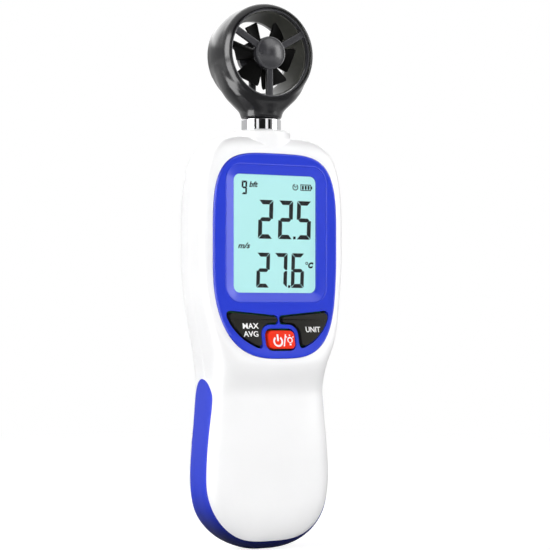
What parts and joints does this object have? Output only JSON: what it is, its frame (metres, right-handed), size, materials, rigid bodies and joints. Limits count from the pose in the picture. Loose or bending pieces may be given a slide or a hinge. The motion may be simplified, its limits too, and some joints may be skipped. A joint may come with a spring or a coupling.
{
  "type": "handheld weather meter",
  "caption": "Handheld weather meter: a swivelling vane head with guarded impeller on a two-shell housing with display, keys, soft grip band and battery door.",
  "frame": {"origin": "under the middle of the housing's width and depth, at its foot", "axes": "+Z from the foot to the vane head, -Y out of the display, +X to the right of a person facing the display"},
  "size_m": [0.0578, 0.033, 0.1993],
  "materials": {
    "white_shell": "satin moulded",
    "blue_panel": "satin moulded",
    "blue_grip": "soft matt",
    "clear_window": "clear",
    "display_glass": "backlit pale aqua",
    "light_guide": "frosted",
    "connector_rubber": "matt",
    "circuit_board": "solder mask",
    "black_epoxy": "matt",
    "spring_steel": "plated",
    "screw_steel": "plated",
    "chrome_collar": "polished",
    "cell_can": "plain printed sleeve",
    "black_head": "satin moulded",
    "black_guard": "satin moulded",
    "black_impeller": "moulded",
    "bearing_brass": "turned",
    "dark_key": "satin",
    "red_key": "satin"
  },
  "bodies": {
    "case": {"front_shell": "white_shell", "rear_shell": "white_shell", "display_bezel": "blue_panel", "grip_band": "blue_grip", "display_window": "clear_window", "lcd_glass": "display_glass", "lcd_backlight": "light_guide", "lcd_connectors": "connector_rubber", "main_board": "circuit_board", "controller_chip": "black_epoxy", "dome_switches": "spring_steel", "board_screws": "screw_steel", "case_screws": "screw_steel", "swivel_collar": "chrome_collar", "cell_left": "cell_can", "cell_middle": "cell_can", "cell_right": "cell_can", "battery_springs": "spring_steel", "contact_plates": "spring_steel"},
    "head": {"head_housing": "black_head", "head_stem": "black_head", "stem_clip": "spring_steel", "front_guard": "black_guard", "rear_guard": "black_guard", "front_bearing": "bearing_brass", "rear_bearing": "bearing_brass", "sensor_board": "circuit_board", "pulse_sensor": "black_epoxy", "thermistor": "black_epoxy"},
    "impeller": {"impeller": "black_impeller", "impeller_shaft": "screw_steel"},
    "max_avg_key": {"max_avg_key": "dark_key"},
    "unit_key": {"unit_key": "dark_key"},
    "power_key": {"power_key": "red_key"},
    "battery_door": {"battery_door": "white_shell"}
  },
  "joints": [
    {"name": "head_swivel", "type": "hinge", "parent": "case", "child": "head", "pos_m": [0, 0.00095, 0.15], "axis": [0, 0, 1], "range_deg": [-90, 90]},
    {"name": "impeller_spin", "type": "hinge", "parent": "head", "child": "impeller", "pos_m": [0, 0.00095, 0.1805], "axis": [0, 1, 0], "continuous": true},
    {"name": "max_avg_press", "type": "slide", "parent": "case", "child": "max_avg_key", "axis": [0, 1, 0], "range_m": [0, 0.0009], "stiffness_N_per_m": 900},
    {"name": "unit_press", "type": "slide", "parent": "case", "child": "unit_key", "axis": [0, 1, 0], "range_m": [0, 0.0009], "stiffness_N_per_m": 900},
    {"name": "power_press", "type": "slide", "parent": "case", "child": "power_key", "axis": [0, 1, 0], "range_m": [0, 0.0009], "stiffness_N_per_m": 900},
    {"name": "door_tilt", "type": "hinge", "parent": "case", "child": "battery_door", "pos_m": [0, 0.01645, 0.0133], "axis": [-1, 0, 0], "range_deg": [0, 70]}
  ]
}
